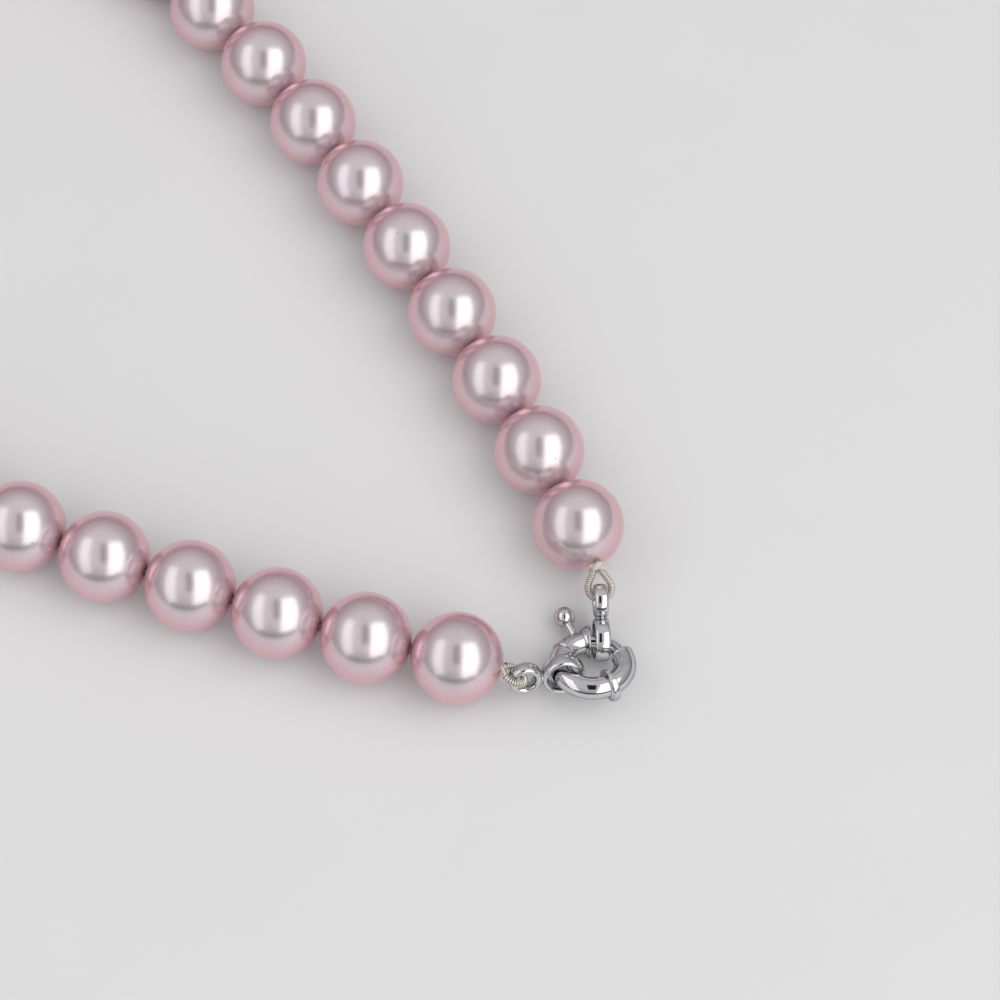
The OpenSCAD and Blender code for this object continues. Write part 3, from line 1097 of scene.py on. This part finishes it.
# Ways to the lights along the camera's right, up and back, their distance, width and height
KEY_WAY = (0.57, -0.095, 0.815)
FILL_WAY = (-0.73, 0.05, 0.68)
LIGHT_DISTANCE = 0.8
KEY_SIZE = (0.64, 1.5)
FILL_SIZE = (0.38, 1.3)
# Width and height of the dark cards: the camera's body, and what stands low in front
BODY_CARD = (0.15, 0.48)
FRONT_CARD = (1.3, 0.18)


def camera_axes():
    """Camera's own right, up and back directions."""
    azimuth, elevation = studio().azimuth, studio().elevation
    back = np.array([math.sin(azimuth) * math.cos(elevation),
                     -math.cos(azimuth) * math.cos(elevation), math.sin(elevation)])
    right = straight(np.cross(UP, back))
    return right, np.cross(back, right), back


def soft_light(name, aim, way, distance, width, height, power):
    """A soft light that shines on aim from that way and distance, upright in the picture."""
    lamp = bpy.data.lights.new(name, "AREA")
    lamp.shape = "RECTANGLE"
    lamp.size = width
    lamp.size_y = height
    lamp.energy = power
    holder = bpy.data.objects.new(name, lamp)
    holder.location = aim + distance * straight(way)
    out = straight(way)
    side = straight(np.cross(camera_axes()[1], out))
    turn = Matrix([side, np.cross(out, side), out]).transposed()
    holder.rotation_euler = turn.to_euler()
    bpy.context.scene.collection.objects.link(holder)


def dark_card(name, middle, side, rise, width, height):
    """A dark card that is seen only in reflections."""
    reach_side, reach_rise = side * width / 2, rise * height / 2
    corners = [middle - reach_side - reach_rise, middle + reach_side - reach_rise,
               middle + reach_side + reach_rise, middle - reach_side + reach_rise]
    mesh = bpy.data.meshes.new(name)
    mesh.from_pydata([corner.tolist() for corner in corners], [], [(0, 1, 2, 3)])
    mesh.materials.append(blank(name, (0.012, 0.011, 0.012), 0.0, 0.8)[0])
    card = bpy.data.objects.new(name, mesh)
    bpy.context.scene.collection.objects.link(card)
    card.visible_camera = False
    card.visible_diffuse = False
    card.visible_shadow = False


def room_light():
    """Light of the room: dark at the horizon, dim above it and brighter overhead."""
    world = bpy.data.worlds.new("room")
    bpy.context.scene.world = world
    world.use_nodes = True
    nodes, links = world.node_tree.nodes, world.node_tree.links
    place = nodes.new("ShaderNodeTexCoord")
    split = nodes.new("ShaderNodeSeparateXYZ")
    ramp = nodes.new("ShaderNodeValToRGB")
    ramp.color_ramp.elements[0].position = 0.0
    ramp.color_ramp.elements[0].color = (0.13, 0.13, 0.13, 1)
    low_wall = ramp.color_ramp.elements.new(0.14)
    low_wall.color = (0.46, 0.45, 0.46, 1)
    ramp.color_ramp.elements[2].position = 0.75
    ramp.color_ramp.elements[2].color = (1.0, 0.99, 1.0, 1)
    links.new(place.outputs["Generated"], split.inputs["Vector"])
    links.new(split.outputs["Z"], ramp.inputs["Fac"])
    links.new(ramp.outputs["Color"], nodes["Background"].inputs["Color"])
    nodes["Background"].inputs["Strength"].default_value = studio().sky


class NECKLACE_OT_set_stage(Operator):
    """Sets the floor, the camera and the soft studio light"""
    bl_idname = "necklace.set_stage"
    bl_label = "Stage"

    def execute(self, context):
        right, rise, back = camera_axes()
        aim = RING_MIDDLE + AIM_OFFSET
        aim[2] = 0
        camera = bpy.data.objects.new("camera", bpy.data.cameras.new("camera"))
        camera.data.lens = studio().lens
        camera.data.sensor_width = 36
        camera.location = aim + studio().distance * back
        camera.rotation_euler = Vector(back).to_track_quat("Z", "Y").to_euler()
        context.scene.collection.objects.link(camera)
        context.scene.camera = camera
        context.scene.view_settings.view_transform = "Standard"
        half = FLOOR_HALF
        floor_mesh = bpy.data.meshes.new("floor")
        floor_mesh.from_pydata([(-half, -half, 0), (half, -half, 0), (half, half, 0),
                                (-half, half, 0)], [], [(0, 1, 2, 3)])
        floor_mesh.materials.append(finish("pale_board"))
        floor = bpy.data.objects.new("floor", floor_mesh)
        context.scene.collection.objects.link(floor)
        room_light()
        axes = np.stack([right, rise, back])
        soft_light("key", aim, KEY_WAY @ axes, LIGHT_DISTANCE, *KEY_SIZE, studio().key_power)
        soft_light("fill", aim, FILL_WAY @ axes, LIGHT_DISTANCE, *FILL_SIZE,
                   studio().fill_power)
        dark_card("camera_body", aim + 0.52 * back + 0.10 * rise, right, rise, *BODY_CARD)
        front = straight(back * (1, 1, 0))
        dark_card("dark_front", aim + 0.75 * front + 0.09 * UP, right, UP, *FRONT_CARD)
        return {"FINISHED"}


class NECKLACE_PT_panel(Panel):
    """Lists what the necklace is made of"""
    bl_idname = "NECKLACE_PT_panel"
    bl_label = "Pearl Necklace"
    bl_space_type = "VIEW_3D"
    bl_region_type = "UI"
    bl_category = "Necklace"

    def draw(self, context):
        for operator in OPERATORS:
            self.layout.operator(operator.bl_idname)
        for group in (context.scene.necklace_sizes, context.scene.necklace_finishes,
                      context.scene.necklace_studio):
            for name in group.__annotations__:
                self.layout.prop(group, name)


GROUPS = (NecklaceSizes, NecklaceFinishes, NecklaceStudio)
OPERATORS = (
    NECKLACE_OT_set_stage, NECKLACE_OT_string_pearls, NECKLACE_OT_lay_thread,
    NECKLACE_OT_wind_gimps, NECKLACE_OT_tie_knot, NECKLACE_OT_form_links,
    NECKLACE_OT_bend_tube, NECKLACE_OT_turn_collars, NECKLACE_OT_form_bolt,
    NECKLACE_OT_wind_spring,
)


def register():
    for group in GROUPS:
        bpy.utils.register_class(group)
    bpy.types.Scene.necklace_sizes = PointerProperty(type=NecklaceSizes)
    bpy.types.Scene.necklace_finishes = PointerProperty(type=NecklaceFinishes)
    bpy.types.Scene.necklace_studio = PointerProperty(type=NecklaceStudio)
    for operator in OPERATORS:
        bpy.utils.register_class(operator)
    bpy.utils.register_class(NECKLACE_PT_panel)


def unregister():
    bpy.utils.unregister_class(NECKLACE_PT_panel)
    for operator in reversed(OPERATORS):
        bpy.utils.unregister_class(operator)
    del bpy.types.Scene.necklace_studio
    del bpy.types.Scene.necklace_finishes
    del bpy.types.Scene.necklace_sizes
    for group in reversed(GROUPS):
        bpy.utils.unregister_class(group)


def main():
    register()
    for operator in OPERATORS:
        group, name = operator.bl_idname.split(".")
        getattr(getattr(bpy.ops, group), name)()


if __name__ == "__main__":
    main()
